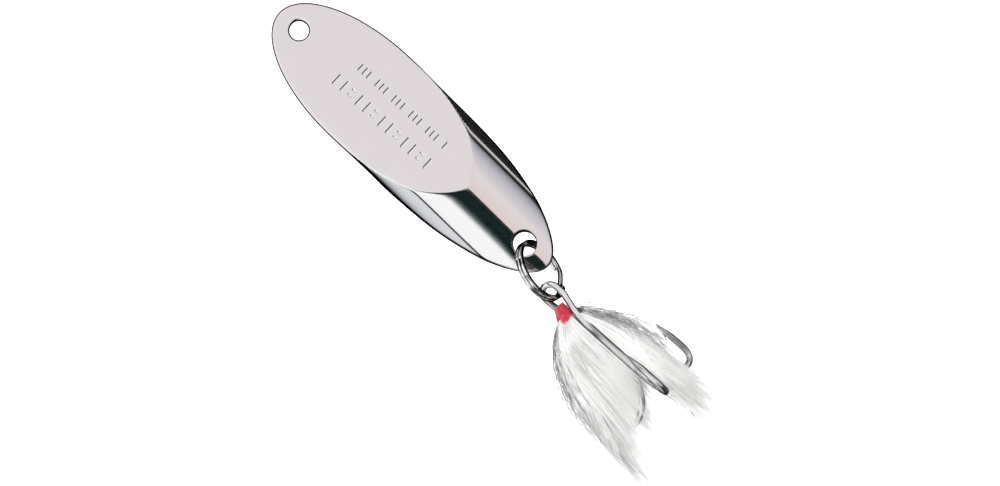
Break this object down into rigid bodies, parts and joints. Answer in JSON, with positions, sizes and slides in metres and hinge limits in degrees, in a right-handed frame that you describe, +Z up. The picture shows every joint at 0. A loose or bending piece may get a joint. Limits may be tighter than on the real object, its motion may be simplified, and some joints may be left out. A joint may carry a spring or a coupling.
{
  "type": "spoon lure",
  "caption": "Chrome casting spoon cut from a bar, with a flat face and a tail ridge, a split ring and a treble hook dressed in white hair.",
  "frame": {"origin": "centre of the flat front face of the spoon body", "axes": "+Z up along the body from hook to line tie, as the lure hangs on a line; -Y out of the flat front face; +X to the right seen from the front"},
  "size_m": [0.0201, 0.0144, 0.083],
  "materials": {
    "body_chrome": "polished",
    "ring_nickel": "polished",
    "hook_nickel": "polished",
    "braze": "satin",
    "red_thread": "satin",
    "white_hair": "matte"
  },
  "bodies": {
    "spoon": {"spoon_body": "body_chrome"},
    "ring": {"split_ring": "ring_nickel"},
    "hook": {"hook_double_wire": "hook_nickel", "hook_third_wire": "hook_nickel", "hook_braze": "braze", "thread_wrap": "red_thread"},
    "hair_left": {"hair_bundle_left": "white_hair"},
    "hair_right": {"hair_bundle_right": "white_hair"},
    "hair_rear": {"hair_bundle_rear": "white_hair"}
  },
  "joints": [
    {"name": "ring_swing", "type": "hinge", "parent": "spoon", "child": "ring", "pos_m": [0, 0.00472, -0.0291], "axis": [0, 1, 0], "range_deg": [-85, 85]},
    {"name": "hook_swing", "type": "hinge", "parent": "ring", "child": "hook", "pos_m": [-0.00251, 0.00472, -0.03732], "axis": [-0.5599, -0.8285, -0.0097], "range_deg": [-70, 70]},
    {"name": "hair_left_sway", "type": "hinge", "parent": "hook", "child": "hair_left", "pos_m": [-0.00244, 0.00472, -0.04152], "axis": [-0.4999, 0.866, -0.0087], "range_deg": [-2, 16]},
    {"name": "hair_right_sway", "type": "hinge", "parent": "hook", "child": "hair_right", "pos_m": [-0.00244, 0.00472, -0.04152], "axis": [-0.4999, -0.866, -0.0087], "range_deg": [-2, 16]},
    {"name": "hair_rear_sway", "type": "hinge", "parent": "hook", "child": "hair_rear", "pos_m": [-0.00244, 0.00472, -0.04152], "axis": [0.9998, 0, 0.0174], "range_deg": [-2, 16]}
  ]
}
